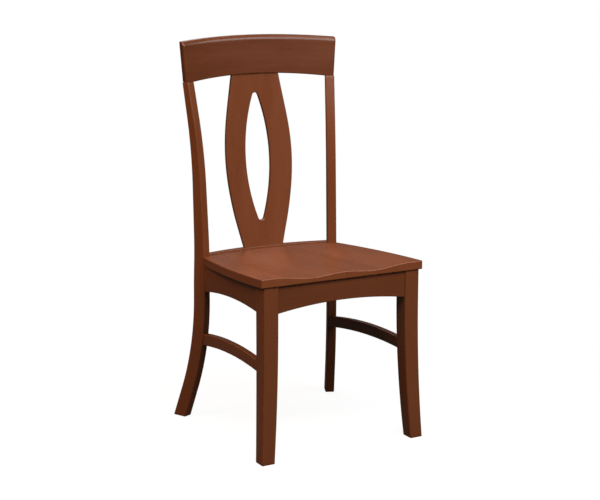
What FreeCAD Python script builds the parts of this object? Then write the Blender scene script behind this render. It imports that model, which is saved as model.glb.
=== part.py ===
import FreeCAD, Part
import math
import os

# A dining chair of solid wood with a scooped seat and a wide pierced splat.
# X runs to the sitter's left, Y to the back and Z up; the floor is Z 0.
# The right side is the one with positive X, and most pieces of the left side
# mirror it. The chair is laid out from near the front of its front legs, and
# the last step moves it so that the origin lies under the middle of its box.

os.makedirs("parts", exist_ok=True)
V = FreeCAD.Vector
far = 900.0                  # longer than any piece, for cuts that go right through

# Front legs
leg_half_outer = 218.6       # half the width over the legs at the seat frame
leg_front = -4.6
leg_width = 39.8
leg_depth = 41.6
leg_bend = 366.0             # height where the curve to the foot starts
foot_flare = 11.4            # how far the outer face runs out at the floor
foot_lead = 9.9              # how far the front face runs forward at the floor
foot_width = 34.5
foot_depth = 35.5
leg_round = 2.5

# Rear posts
post_turn = 24.7             # degrees the posts are turned towards the sitter
post_splay = 0.38            # degrees the posts lean out towards the floor
post_corner_x = 198.1        # outer front corner at the seat frame
post_corner_y = 362.9
post_width = 24.5
post_depth = 36.2            # depth at the seat frame
post_top_taper = 0.032       # depth lost per millimetre above the seat frame
post_foot_taper = 0.010      # depth gained per millimetre below it
joint_below_seat = 132.4     # the front edge is straight from here, below the seat's top
joint_length = 100.0
foot_arc = 740.0             # radius of the curve to the foot
foot_straight = 80.0         # the front edge is straight below this height
back_arc_low = 1390.0
back_arc_low_height = 75.0
back_straight = 120.0        # height of the straight stretch between the two back curves
back_arc_high = 1320.0
back_arc_high_height = 180.0
post_round = 3.0

# Seat
seat_height = 457.4          # top of the seat at its front edge
seat_slope = 2.5             # degrees down to the back
seat_thickness = 22.0
seat_lead = 4.1              # ahead of the front legs
seat_front_overhang = 7.9    # past the outer faces of the front legs
seat_rear_overhang = 1.5     # past the outer corners of the rear posts
seat_rear_lead = 1.1         # the sides end this far ahead of the rear posts
seat_side_bulge = 10.2       # how far the sides swell past a straight line
seat_edge_round = 2.5
notch_fit = 0.4              # gap round the posts in the seat's notches
scoop_depth = 11.0           # deepest part of the two hollows
scoop_front_depth = 9.0      # depth of the hollows at the front edge
scoop_deepest = 0.4          # where along the scoop it is deepest
scoop_end = 0.94             # where along the scoop it ends
scoop_middle = 0.38          # where a hollow is deepest, as part of the half width
scoop_rim = 0.84             # where the flat rim starts
ridge_share = 0.63           # how much of the hollow the ridge fills at the front
ridge_length = 0.75          # how far back along the scoop the ridge runs out
ridge_rest = 0.1             # what is left of the ridge behind that

# Rear rail
rail_set_back = 42.6         # front of the rail at the middle, behind the posts' corners
rail_radius = 620.0          # radius of its hollow front face, seen from above
rail_thickness = 21.0
rail_stand = 3.5             # how far it stands above the seat at the middle
rail_rise = 12.0             # arch of its lower edge

# Aprons
apron_thickness = 20.0
apron_height = 67.7          # height at the ends
apron_reveal = 2.6           # front apron behind the front of the legs
front_apron_rise = 14.7
side_apron_rise = 12.0
side_apron_rear_drop = 2.0   # the side apron is this much deeper at the rear
side_reveal_front = 5.1      # side apron inside the outer face of the front leg
side_reveal_rear = 0.1       # and inside the corner of the rear post

# Side stretchers
stretcher_thickness = 17.0
stretcher_top_front = 246.8
stretcher_top_rear = 235.1
stretcher_height_front = 28.0
stretcher_height_rear = 30.3
stretcher_rise = 11.5
stretcher_reveal_front = 4.2
stretcher_reveal_rear = 1.9
stretcher_gap = 0.3          # at the shoulders, which meet curved faces
tenon_thickness = 9.0
tenon_height = 19.0
tenon_length = 12.0
tenon_fit = 0.3

# Crest rail
crest_seat_z = 885.0         # flat landing on the posts
crest_radius = 600.0         # radius of its hollow front face, seen from above
crest_set = 3.5              # its front face behind the front of the posts
crest_thickness = 20.0
crest_lean = 3.0             # degrees back from upright
crest_overhang = 3.2         # past the outer corner of the post
crest_flare = 7.5            # how far the ends run out towards the top
crest_end_height = 101.5
crest_arch_low = 11.2
crest_arch_high = 10.1
landing_inset = 1.5          # the landing starts this far inside the post
crest_front_round = 6.0
crest_edge_round = 3.0

# Splat
splat_radius = 510.0         # radius of its bow, seen from above
splat_thickness = 10.0
splat_half_width = 97.4
splat_rail_set = 9.0         # middle layer behind the front face of the rail
splat_crest_set = 9.2        # and behind the front face of the crest rail
splat_belly = 4.4            # how far its middle bends behind the straight line
splat_tongue = 8.8           # how deep each end stands in its groove
splat_fit = 0.3              # gap around it in the grooves
opening_rise = 9.5           # middle of the opening above the middle of the splat
opening_half_width = 36.2
opening_arc = 485.0
opening_tip = 9.0

# Dowels
dowel_radius = 4.75
thin_dowel_radius = 4.0
dowel_fit = 0.3
dowel_end_gap = 1.0
dowel_top = 18.4             # upper dowels below the top of the frame
dowel_pitch = 32.0
rear_dowel_top = 27.2
rear_dowel_pitch = 28.0
rear_dowel_inward = 9.5      # from the outer face of the post
rail_dowel_top = 22.8
rail_dowel_pitch = 42.0
crest_dowel_pitch = 11.0
front_dowel_in_leg = 17.0
side_dowel_in_leg = 15.0
dowel_in_apron = 22.0
side_dowel_in_post = 13.0
rail_dowel_in_post = 15.0
dowel_in_rail = 20.0
crest_dowel_in_post = 20.0
dowel_in_crest = 25.0

# Corner blocks and screws
block_thickness = 24.0
block_gap = 0.3              # to the legs, the posts and the bowed rail
front_block_reach = 66.8     # along the front apron from the leg
front_block_run = 79.0       # along the side apron from the leg
rear_block_reach = 78.0      # along the rail from the post
rear_block_run = 73.0        # along the side apron from the post
screw_radius = 2.1
screw_head_radius = 4.3
screw_head_height = 3.0
screw_fit = 0.3
head_fit = 1.2
seat_screw_bite = 12.0
leg_screw_bite = 15.0
front_leg_screw_run = 33.0   # length of the corner screw inside the front block
rear_leg_screw_run = 36.0
rear_leg_screw_angle = 28.5  # degrees between that screw and the side of the post
front_screw_x = 18.8         # seat screw from the inner face of the leg
front_screw_y = 12.0         # and from the front apron
rear_screw_x = 25.9          # seat screw from the inner front corner of the post
rear_screw_y = 11.1

# Places that follow from the sizes
leg_back = leg_front + leg_depth
leg_inner = leg_half_outer - leg_width
foot_half_outer = leg_half_outer + foot_flare
foot_front = leg_front - foot_lead
leg_over = seat_height + 5
joint_low = seat_height - joint_below_seat
joint_high = joint_low + joint_length
post_level = (joint_low + joint_high) / 2
back_arc_low_end = joint_high + back_arc_low_height
back_arc_high_start = back_arc_low_end + back_straight
back_arc_high_end = back_arc_high_start + back_arc_high_height
post_over = crest_seat_z + 45
slope = math.tan(math.radians(seat_slope))
turn = math.radians(post_turn)
seat_front = leg_front - seat_lead
seat_half_front = leg_half_outer + seat_front_overhang
seat_half_rear = post_corner_x + seat_rear_overhang
seat_side_end_y = post_corner_y - seat_rear_lead
rail_front = post_corner_y + rail_set_back
scoop_length = rail_front - seat_front
apron_front = leg_front + apron_reveal
apron_back = apron_front + apron_thickness
side_outer_front = leg_half_outer - side_reveal_front
side_outer_rear = post_corner_x - side_reveal_rear
stretcher_front_z = stretcher_top_front - stretcher_height_front / 2
stretcher_rear_z = stretcher_top_rear - stretcher_height_rear / 2
crest_low_middle = crest_seat_z + crest_arch_low
crest_end_z = crest_seat_z + crest_end_height
crest_top_z = crest_end_z + crest_arch_high


def seat_z(y):
    """Height of the seat's flat rim at a distance from the front."""
    return seat_height - slope * (y - seat_front)


def under_z(y):
    """Height of the seat's underside, which is also the top of the frame."""
    return seat_z(y) - seat_thickness / math.cos(math.radians(seat_slope))


frame_top = under_z(seat_front)
rail_top = seat_z(rail_front) + rail_stand


def above(height):
    """All space above a plane parallel to the seat; height is at the front edge."""
    block = Part.makeBox(far, far, far, V(-far / 2, -far / 4, 0))
    block.rotate(V(0, 0, 0), V(1, 0, 0), -seat_slope)
    block.translate(V(0, seat_front, height))
    return block


def mirrored(shape):
    return shape.mirror(V(0, 0, 0), V(1, 0, 0))


def face_of(edges):
    return Part.Face(Part.Wire(Part.__sortEdges__(edges)))


def arc(first, middle, last):
    return Part.Arc(first, middle, last).toShape()


def line(first, last):
    return Part.makeLine(first, last)


def spline(points):
    curve = Part.BSplineCurve()
    curve.interpolate(points)
    return curve.toShape()


def spread(low, high, count):
    """Evenly spaced values from low to high."""
    return [low + (high - low) * i / (count - 1) for i in range(count)]


def long_edges(solid):
    """Edges that climb, for rounding the arrises of a leg."""
    return [e for e in solid.Edges if e.BoundBox.ZLength > leg_width / 2]


def bend_radius(shift):
    """Radius of a leg's curve that moves a face by shift at the floor."""
    return (leg_bend ** 2 + shift ** 2) / (2 * abs(shift))


def bend_at(shift, z):
    """How far a leg's curve has moved a face at a height."""
    radius = bend_radius(shift)
    drop = max(leg_bend - z, 0)
    return math.copysign(radius - math.sqrt(radius ** 2 - drop ** 2), shift)


def bent_side(top, foot, plane):
    """Edges from above the leg's top down to its foot: straight, then one arc."""
    radius = bend_radius(foot - top)
    half_way = leg_bend - radius * math.sin(math.asin(leg_bend / radius) / 2)
    middle = plane(top + bend_at(foot - top, half_way), half_way)
    curve = arc(plane(top, leg_bend), middle, plane(foot, 0))
    return [line(plane(top, leg_over), plane(top, leg_bend)), curve]


def leg_sheet(low_top, low_foot, high_top, high_foot, plane):
    edges = bent_side(low_top, low_foot, plane) + bent_side(high_top, high_foot, plane)
    edges.append(line(plane(low_top, leg_over), plane(high_top, leg_over)))
    edges.append(line(plane(low_foot, 0), plane(high_foot, 0)))
    return face_of(edges)


def leg_blank():
    """Front leg before its edges are rounded, curved on all four sides."""
    seen_front = leg_sheet(leg_inner, foot_half_outer - foot_width, leg_half_outer,
                           foot_half_outer, lambda u, z: V(u, -far / 2, z))
    seen_side = leg_sheet(leg_front, foot_front, leg_back, foot_front + foot_depth,
                          lambda u, z: V(0, u, z))
    solid = seen_front.extrude(V(0, far, 0)).common(seen_side.extrude(V(far, 0, 0)))
    return solid.cut(above(frame_top))


def front_sweep(z):
    """How far the post's front edge lies behind its straight part."""
    if z < joint_low:
        drop = joint_low - max(z, foot_straight)
        sweep = foot_arc - math.sqrt(foot_arc ** 2 - drop ** 2)
        rest = max(foot_straight - z, 0)
        return sweep + rest * math.tan(math.asin(drop / foot_arc))
    if z <= joint_high:
        return 0.0
    rise = min(z, back_arc_low_end) - joint_high
    sweep = back_arc_low - math.sqrt(back_arc_low ** 2 - rise ** 2)
    lean = math.asin(rise / back_arc_low)
    if z > back_arc_low_end:
        sweep += (min(z, back_arc_high_start) - back_arc_low_end) * math.tan(lean)
    if z > back_arc_high_start:
        rise = min(z, back_arc_high_end) - back_arc_high_start
        steeper = math.asin(math.sin(lean) + rise / back_arc_high)
        sweep += back_arc_high * (math.cos(lean) - math.cos(steeper))
        sweep += max(z - back_arc_high_end, 0) * math.tan(steeper)
    return sweep


def post_depth_at(z):
    if z > post_level:
        return post_depth - post_top_taper * (z - post_level)
    return post_depth + post_foot_taper * (post_level - z)


def post_front_edges(grow, low):
    """Front edge of the post's board, from below the floor to above its top."""
    def at(z):
        return V(front_sweep(z) - grow, 0, z)

    def bend(start, end):
        return arc(at(start), at((start + end) / 2), at(end))
    edges = [line(at(low), at(foot_straight)), bend(foot_straight, joint_low)]
    edges += [line(at(joint_low), at(joint_high)), bend(joint_high, back_arc_low_end)]
    edges += [line(at(back_arc_low_end), at(back_arc_high_start))]
    edges += [bend(back_arc_high_start, back_arc_high_end), line(at(back_arc_high_end), at(post_over))]
    return edges


def place_post(shape):
    """Tilt a shape made on the post's own board and turn it into its place."""
    shape.rotate(V(0, 0, post_level), V(1, 0, 0), -post_splay)
    shape.rotate(V(0, 0, 0), V(0, 0, 1), 90 - post_turn)
    shape.translate(V(post_corner_x, post_corner_y, 0))
    return shape


def post_blank(grow=0.0):
    """Rear post, one sawn board from the floor to the crest rail."""
    low = -10.0
    back = [V(front_sweep(z) + post_depth_at(z) + grow, 0, z) for z in spread(low, post_over, 16)]
    edges = post_front_edges(grow, low) + [spline(back)]
    edges.append(line(V(front_sweep(low) - grow, 0, low), back[0]))
    edges.append(line(V(front_sweep(post_over) - grow, 0, post_over), back[-1]))
    board = face_of(edges).extrude(V(0, post_width + 2 * grow, 0))
    board.translate(V(0, -grow, 0))
    place_post(board)
    board = board.cut(Part.makeBox(far, far, far, V(-far / 2, 0, -far)))
    return board.cut(Part.makeBox(far, far, far, V(-far / 2, 0, crest_seat_z)))


def on_post(along, inward, z):
    """A point on the right post, measured on its own board from its front edge."""
    return place_post(Part.Vertex(V(front_sweep(z) + along, inward, z))).Point


# Places that follow from the posts
post_inner = on_post(0, post_width, post_level)
post_backward = on_post(1, post_width, post_level) - post_inner
post_outward = on_post(0, post_width - 1, post_level) - post_inner
post_heart = on_post(post_depth / 2, post_width / 2, post_level)
post_top = on_post(0, post_width / 2, crest_seat_z)
stretcher_rear = on_post(0, 0, stretcher_rear_z)
crest_front = (post_top.y + crest_set + crest_radius
               - math.sqrt(crest_radius ** 2 - post_top.x ** 2))
crest_half_low = on_post(0, 0, crest_seat_z).x + crest_overhang
crest_half_high = crest_half_low + crest_flare
crest_landing = on_post(0, post_width, crest_seat_z).x - landing_inset


def ring(inner, outer, centre_y, half, z):
    """A bowed strip seen from above, hollow towards the sitter."""
    def at(radius, x):
        return V(x, centre_y + math.sqrt(radius ** 2 - x ** 2), z)
    edges = [arc(at(inner, -half), at(inner, 0), at(inner, half))]
    edges.append(arc(at(outer, -half), at(outer, 0), at(outer, half)))
    edges.append(line(at(inner, -half), at(outer, -half)))
    edges.append(line(at(inner, half), at(outer, half)))
    return face_of(edges)


def crest_sheet():
    """The crest rail seen from the front."""
    def at(x, z):
        return V(x, 0, z)
    edges = [arc(at(-crest_half_high, crest_end_z), at(0, crest_top_z),
                 at(crest_half_high, crest_end_z))]
    edges.append(arc(at(-crest_landing, crest_seat_z), at(0, crest_low_middle),
                     at(crest_landing, crest_seat_z)))
    for side in (-1, 1):
        edges.append(line(at(side * crest_landing, crest_seat_z),
                          at(side * crest_half_low, crest_seat_z)))
        edges.append(line(at(side * crest_half_low, crest_seat_z),
                          at(side * crest_half_high, crest_end_z)))
    return face_of(edges)


def crest_blank():
    spare = 25.0
    low = crest_seat_z - spare
    lean = math.tan(math.radians(crest_lean))
    tall = crest_top_z + spare - low
    centre_y = crest_front - crest_radius - lean * spare
    strip = ring(crest_radius, crest_radius + crest_thickness, centre_y, crest_half_high + spare, low)
    bowed = strip.extrude(V(0, tall * lean, tall))
    return bowed.common(crest_sheet().extrude(V(0, far, 0)))


def round_crest(solid):
    """Round the two long top edges, the front one more."""
    def top_edges(shape):
        found = [e for e in shape.Edges if e.BoundBox.ZMax > crest_top_z - 3
                 and e.BoundBox.XLength > crest_half_low]
        return sorted(found, key=lambda e: e.BoundBox.YMin)
    solid = solid.makeFillet(crest_front_round, [top_edges(solid)[0]])
    return solid.makeFillet(crest_edge_round, [top_edges(solid)[-1]])


def splat_y(x, z):
    """Middle layer of the splat: bowed across, leaning and slightly bent."""
    share = (z - rail_top) / (crest_low_middle - rail_top)
    foot_y = rail_front + splat_rail_set
    head_y = crest_front + splat_crest_set
    bend = 4 * splat_belly * share * (1 - share)
    bow = splat_radius - math.sqrt(splat_radius ** 2 - x ** 2)
    return foot_y + (head_y - foot_y) * share + bend - bow


def splat_sheet(low, high, grow):
    """Outline of the splat: half widths as parts of the widest, on a height from 0 to 1."""
    stations = [(0.543, -0.023), (0.675, 0.087), (0.787, 0.178), (0.879, 0.270), (0.971, 0.403),
                (1.0, 0.539), (0.959, 0.671), (0.862, 0.800), (0.790, 0.881), (0.667, 1.021)]
    right = []
    for width, height in stations:
        right.append(V(splat_half_width * width + grow, 0, low + (high - low) * height))
    left = [V(-point.x, 0, point.z) for point in right]
    edges = [spline(right), spline(left), line(right[0], left[0]), line(right[-1], left[-1])]
    return face_of(edges)


def splat_blank(grow=0.0):
    """The bowed splat without its opening; grow makes the grooves that hold it."""
    low = rail_top - splat_tongue
    high = crest_low_middle + splat_tongue
    half = splat_thickness / 2 + grow
    grid = []
    for x in spread(-1.28 * splat_half_width, 1.28 * splat_half_width, 11):
        grid.append([V(x, splat_y(x, z) - half, z) for z in spread(low - 30, high + 40, 10)])
    surface = Part.BSplineSurface()
    surface.interpolate(grid)
    bowed = surface.toShape().extrude(V(0, 2 * half, 0))
    bowed = bowed.common(splat_sheet(low, high, grow).extrude(V(0, far, 0)))
    low -= 2 * grow
    high += 2 * grow
    return bowed.common(Part.makeBox(far, far, high - low, V(-far / 2, 0, low)))


def opening_prism():
    """The pointed oval with rounded tips, cut straight through."""
    offset = opening_arc - opening_half_width
    tip_z = math.sqrt((opening_arc - opening_tip) ** 2 - offset ** 2)
    reach = opening_arc / (opening_arc - opening_tip)
    side_x = -offset + offset * reach
    side_z = tip_z * reach
    centre_z = (rail_top + crest_low_middle) / 2 + opening_rise

    def at(x, z):
        return V(x, 0, centre_z + z)
    edges = []
    for side in (-1, 1):
        edges.append(arc(at(side * side_x, -side_z), at(side * opening_half_width, 0),
                         at(side * side_x, side_z)))
        edges.append(arc(at(-side_x, side * side_z), at(0, side * (tip_z + opening_tip)),
                         at(side_x, side * side_z)))
    return face_of(edges).extrude(V(0, far, 0))


def dip(x, y):
    """Depth of the scoop below the flat rim."""
    along = min(max((y - seat_front) / scoop_length, 0.0), 1.0)
    half = seat_half_front - (seat_half_front - seat_half_rear) * along ** 2
    across = abs(x) / half
    if across > scoop_rim:
        return 0.0
    if along < scoop_deepest:
        swell = math.sin(math.pi / 2 * along / scoop_deepest)
        depth = scoop_front_depth + (scoop_depth - scoop_front_depth) * swell
    else:
        past = (along - scoop_deepest) / (scoop_end - scoop_deepest)
        depth = scoop_depth * math.cos(math.pi / 2 * min(past, 1.0)) ** 2
    if across > scoop_middle:
        part = (across - scoop_middle) / (scoop_rim - scoop_middle)
        return depth * math.cos(math.pi / 2 * part) ** 2
    ridge = ridge_share * max(1.0 - along / ridge_length, ridge_rest)
    return depth * (1.0 - ridge * math.cos(math.pi / 2 * across / scoop_middle) ** 2)


def scoop_tool():
    """Everything above the scooped surface of the seat."""
    reach = seat_half_front + 34
    lengthwise = spread(seat_front - 31, rail_front + 30, 20)
    grid = []
    for x in spread(-reach, reach, 27):
        grid.append([V(x, y, seat_z(y) - dip(x, y)) for y in lengthwise])
    surface = Part.BSplineSurface()
    surface.interpolate(grid)
    return surface.toShape().extrude(V(0, 0, far))


def rail_face(x, gap, z):
    """A point ahead of the rail's hollow front face by a gap."""
    return V(x, rail_front - rail_radius + math.sqrt((rail_radius - gap) ** 2 - x ** 2), z)


def seat_sheet(z):
    """Outline of the seat seen from above; its rear corners end inside the posts."""
    tuck = on_post(post_depth * 0.4, post_width / 2, post_level)
    end_x = on_post(post_depth * 0.2, post_width * 0.8, post_level).x
    edges = [line(V(-seat_half_front, seat_front, z), V(seat_half_front, seat_front, z))]
    edges.append(arc(rail_face(-end_x, splat_fit, z), rail_face(0, splat_fit, z),
                     rail_face(end_x, splat_fit, z)))
    for side in (-1, 1):
        front = V(side * seat_half_front, seat_front, z)
        swell = (seat_half_front + seat_half_rear) / 2 + seat_side_bulge
        middle = V(side * swell, (seat_front + seat_side_end_y) / 2, z)
        rear = V(side * seat_half_rear, seat_side_end_y, z)
        inside = V(side * tuck.x, tuck.y, z)
        edges.append(arc(front, middle, rear))
        edges.append(line(rear, inside))
        edges.append(line(inside, rail_face(side * end_x, splat_fit, z)))
    return face_of(edges)


def seat_panel():
    low = under_z(rail_front) - 20
    solid = seat_sheet(low).extrude(V(0, 0, seat_height + 20 - low))
    solid = solid.common(above(frame_top)).cut(scoop_tool())
    notch = post_blank(notch_fit)
    return round_seat(solid.cut(notch).cut(mirrored(notch)))


def round_seat(solid):
    """Ease the front and side edges of the seat, above and below."""
    picked = []
    for edge in solid.Edges:
        box = edge.BoundBox
        front = box.YMax < seat_front + 1 and box.XLength > seat_half_front
        long = box.YLength > 0.8 * (seat_side_end_y - seat_front)
        side = long and min(abs(box.XMin), abs(box.XMax)) > seat_half_rear - 5
        if front or side:
            picked.append(edge)
    return solid.makeFillet(seat_edge_round, picked)


def front_apron(legs):
    """Straight board with an arched lower edge between the front legs."""
    low = frame_top - apron_height

    def at(x, z):
        return V(x, apron_front, z)
    end = leg_inner + 8
    extra = front_apron_rise * (end ** 2 / leg_inner ** 2 - 1)
    edges = [arc(at(-end, low - extra), at(0, low + front_apron_rise), at(end, low - extra))]
    edges.append(line(at(-end, low - extra), at(-end, leg_over)))
    edges.append(line(at(end, low - extra), at(end, leg_over)))
    edges.append(line(at(-end, leg_over), at(end, leg_over)))
    solid = face_of(edges).extrude(V(0, apron_thickness, 0)).cut(above(frame_top))
    for leg in legs:
        solid = solid.cut(leg)
    return solid


def along_side(shape, start, end):
    """Turn and move a shape made along X from the origin to run from start to end."""
    angle = math.degrees(math.atan2(end.y - start.y, end.x - start.x))
    shape.rotate(V(0, 0, 0), V(0, 0, 1), angle)
    shape.translate(start)
    return shape


def arched_board(start, end, thickness, spare, low, high):
    """Board between two points; low and high are heights at its ends and a rise."""
    length = start.distanceToPoint(end)
    over = spare / length

    def at(share, level):
        first, last, rise = level
        z = first + (last - first) * share + 4 * rise * share * (1 - share)
        return V(length * share, 0, z)
    edges = [arc(at(-over, low), at(0.5, low), at(1 + over, low))]
    if high[2]:
        edges.append(arc(at(-over, high), at(0.5, high), at(1 + over, high)))
    else:
        edges.append(line(at(-over, high), at(1 + over, high)))
    edges.append(line(at(-over, low), at(-over, high)))
    edges.append(line(at(1 + over, low), at(1 + over, high)))
    return along_side(face_of(edges).extrude(V(0, thickness, 0)), start, end)


def side_apron(leg):
    """Right side apron, cut to the front leg and to the turned face of the rear post."""
    start = V(side_outer_front, leg_back, 0)
    end = V(side_outer_rear, post_corner_y, 0)
    rear = under_z(end.y) - apron_height - side_apron_rear_drop
    low = (under_z(start.y) - apron_height, rear, side_apron_rise)
    solid = arched_board(start, end, apron_thickness, 14, low, (leg_over, leg_over, 0))
    behind_post = place_post(Part.makeBox(far, 2 * far, far, V(0, -far, 0)))
    return solid.cut(above(frame_top)).cut(leg).cut(behind_post)


def stretcher_ends():
    front = V(leg_half_outer - stretcher_reveal_front, leg_back, 0)
    rear = V(stretcher_rear.x - stretcher_reveal_rear, stretcher_rear.y, 0)
    return front, rear


def side_stretcher(leg, post):
    """Right arched stretcher; a tenon at each end goes into the leg and the post."""
    start, end = stretcher_ends()
    low = (stretcher_top_front - stretcher_height_front,
           stretcher_top_rear - stretcher_height_rear, stretcher_rise)
    high = (stretcher_top_front, stretcher_top_rear, stretcher_rise)
    solid = arched_board(start, end, stretcher_thickness, 12, low, high)
    ahead = V(-math.sin(turn), -math.cos(turn), 0) * stretcher_gap
    solid = solid.cut(leg.translated(V(0, stretcher_gap, 0))).cut(post.translated(ahead))
    for tenon in stretcher_tenons(0.0):
        solid = solid.fuse(tenon)
    return solid.removeSplitter()


def stretcher_tenons(grow):
    """The two tenons, or with grow the mortises that take them."""
    start, end = stretcher_ends()
    root = 8.0
    depth = tenon_length + (dowel_end_gap if grow else 0)
    leg_face = bend_at(foot_front + foot_depth - leg_back, stretcher_front_z)
    post_face = start.distanceToPoint(end) + stretcher_thickness / 2 * math.tan(turn)
    made = []
    for low_x, z in ((leg_face - depth, stretcher_front_z), (post_face - root, stretcher_rear_z)):
        corner = V(low_x, (stretcher_thickness - tenon_thickness) / 2 - grow,
                   z - tenon_height / 2 - grow)
        box = Part.makeBox(depth + root, tenon_thickness + 2 * grow, tenon_height + 2 * grow, corner)
        made.append(along_side(box, start, end))
    return made


def rear_rail(posts):
    """Bowed rail between the posts; its top stands just above the seat."""
    end_z = under_z(rail_front) - apron_height
    half = post_heart.x
    low_z = end_z - 2

    def at(x, z):
        return V(x, 0, z)
    edges = [arc(at(-half, low_z), at(0, end_z + rail_rise), at(half, low_z))]
    edges.append(line(at(-half, low_z), at(-half, rail_top)))
    edges.append(line(at(half, low_z), at(half, rail_top)))
    edges.append(line(at(-half, rail_top), at(half, rail_top)))
    strip = ring(rail_radius, rail_radius + rail_thickness, rail_front - rail_radius, half, 0)
    solid = strip.extrude(V(0, 0, far)).common(face_of(edges).extrude(V(0, far, 0)))
    for post in posts:
        solid = solid.cut(post)
    return solid.cut(splat_blank(splat_fit))


def inner_face_x(y):
    """Inner face of the right side apron at a distance from the front."""
    fall = (side_outer_front - side_outer_rear) / (post_corner_y - leg_back)
    return side_outer_front - fall * (y - leg_back) - apron_thickness * math.sqrt(1 + fall ** 2)


def block_from(edges):
    """Corner block with its top on the underside of the seat."""
    deep = block_thickness / math.cos(math.radians(seat_slope))
    solid = face_of(edges).extrude(V(0, 0, far))
    return solid.common(above(frame_top - deep)).cut(above(frame_top))


def front_block():
    inner_x = leg_inner - block_gap
    inner_y = leg_back + block_gap
    end_y = leg_back + front_block_run
    corners = [(leg_inner - front_block_reach, apron_back), (inner_x, apron_back), (inner_x, inner_y),
               (inner_face_x(inner_y), inner_y), (inner_face_x(end_y), end_y)]
    points = [V(x, y, 0) for x, y in corners]
    return block_from([line(a, b) for a, b in zip(points, points[1:] + points[:1])])


def rear_block(apron):
    """Block in the corner of the side apron, the post and the bowed rail."""
    side_y = post_inner.y - rear_block_run
    start = V(inner_face_x(side_y), side_y, 0)
    meet = V(inner_face_x(post_inner.y), post_inner.y, 0)
    near = on_post(post_depth * 0.2, post_width * 0.8, post_level).x
    away = post_inner.x - rear_block_reach
    bow = [rail_face(x, block_gap, 0) for x in (near, (near + away) / 2, away)]
    edges = [line(start, meet), line(meet, bow[0]), arc(*bow), line(bow[2], start)]
    return block_from(edges).cut(post_blank(block_gap)).cut(apron)


def rod(centre, direction, radius, back, ahead):
    """Cylinder through a point, reaching back and ahead along a direction."""
    unit = V(direction)
    unit.normalize()
    return Part.makeCylinder(radius, back + ahead, centre - unit * back, unit)


def rail_joint():
    """Where the middle of the rail's thickness meets the post, and which way it runs."""
    centre = V(0, rail_front - rail_radius, post_inner.z)
    start = post_inner - centre
    across = start.dot(post_backward)
    radius = rail_radius + rail_thickness / 2
    forward = math.sqrt(across ** 2 - start.dot(start) + radius ** 2) - across
    point = post_inner + post_backward * forward
    return point, V(point.y - centre.y, centre.x - point.x, 0)


def dowel_list():
    """Right-hand dowels: joint, point on the joint, direction, radius, back, ahead."""
    made = []
    run = V(side_outer_rear - side_outer_front, post_corner_y - leg_back, 0)
    rail_point, rail_run = rail_joint()
    side_x = side_outer_front - apron_thickness / 2
    for row in (0, 1):
        down = dowel_top + row * dowel_pitch
        point = V(leg_inner, apron_front + apron_thickness / 2, frame_top - down)
        made.append(("front", point, V(1, 0, 0), dowel_radius, dowel_in_apron, front_dowel_in_leg))
        point = V(side_x, leg_back, under_z(leg_back) - down)
        made.append(("side_front", point, run, dowel_radius, side_dowel_in_leg, dowel_in_apron))
        z = under_z(post_corner_y) - rear_dowel_top - row * rear_dowel_pitch
        point = on_post(0, rear_dowel_inward, z)
        made.append(("side_rear", point, run, thin_dowel_radius, dowel_in_apron, side_dowel_in_post))
        point = V(rail_point.x, rail_point.y, rail_top - rail_dowel_top - row * rail_dowel_pitch)
        made.append(("rail", point, rail_run, thin_dowel_radius, dowel_in_rail, rail_dowel_in_post))
        inward = post_width / 2 + (row - 0.5) * crest_dowel_pitch
        point = on_post(post_depth_at(crest_seat_z) / 2, inward, crest_seat_z)
        made.append(("crest", point, V(0.04, 0.1, 1), thin_dowel_radius, crest_dowel_in_post,
                     dowel_in_crest))
    return made


def dowels_for(joints):
    """The dowels of some joints on both sides, as separate solids."""
    made = []
    for joint, point, direction, radius, back, ahead in dowel_list():
        if joint in joints:
            solid = rod(point, direction, radius, back, ahead)
            made.extend([solid, mirrored(solid)])
    return Part.makeCompound(made)


def bored(solid, joints):
    """Cut the right-hand dowel holes of some joints."""
    for joint, point, direction, radius, back, ahead in dowel_list():
        if joint in joints:
            hole = rod(point, direction, radius + dowel_fit, back + dowel_end_gap,
                       ahead + dowel_end_gap)
            solid = solid.cut(hole)
    return solid


def bored_both(solid, joints):
    """Cut the dowel holes at both ends of a piece that crosses the chair."""
    return mirrored(bored(mirrored(bored(solid, joints)), joints))


def seat_screw_points():
    """Where the seat screws cross the underside of the seat: front, then rear."""
    front_y = apron_back + front_screw_y
    rear_y = post_inner.y - rear_screw_y
    return [V(leg_inner - front_screw_x, front_y, under_z(front_y)),
            V(post_inner.x - rear_screw_x, rear_y, under_z(rear_y))]


def seat_screw(point, grow):
    """Screw up through a corner block into the seat; grow gives its hole."""
    direction = V(0, math.sin(math.radians(seat_slope)), math.cos(math.radians(seat_slope)))
    bite = seat_screw_bite + (dowel_end_gap if grow else 0)
    solid = rod(point, direction, screw_radius + grow, block_thickness, bite)
    if grow:
        return solid
    return solid.fuse(rod(point, direction, screw_head_radius, block_thickness + screw_head_height,
                          -block_thickness))


def leg_screw_points():
    """Corner of the leg or post, direction and length inside the block: front, then rear."""
    front = V(leg_inner, leg_back, under_z(leg_back) - block_thickness / 2)
    rear = V(post_inner.x, post_inner.y, under_z(post_inner.y) - block_thickness / 2)
    angle = math.radians(rear_leg_screw_angle)
    aim = post_backward * math.cos(angle) + post_outward * math.sin(angle)
    aim.z = 0
    return [(front, V(1, -1, 0), front_leg_screw_run), (rear, aim, rear_leg_screw_run)]


def leg_screw(point, direction, inside, grow):
    """Screw through a corner block into the corner of a leg; grow gives its hole."""
    bite = leg_screw_bite + (dowel_end_gap if grow else 0)
    solid = rod(point, direction, screw_radius + grow, inside, bite)
    head_back = 2 * inside if grow else inside + screw_head_height
    head_radius = screw_head_radius + (head_fit if grow else 0)
    return solid.fuse(rod(point, direction, head_radius, head_back, -inside))


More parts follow.
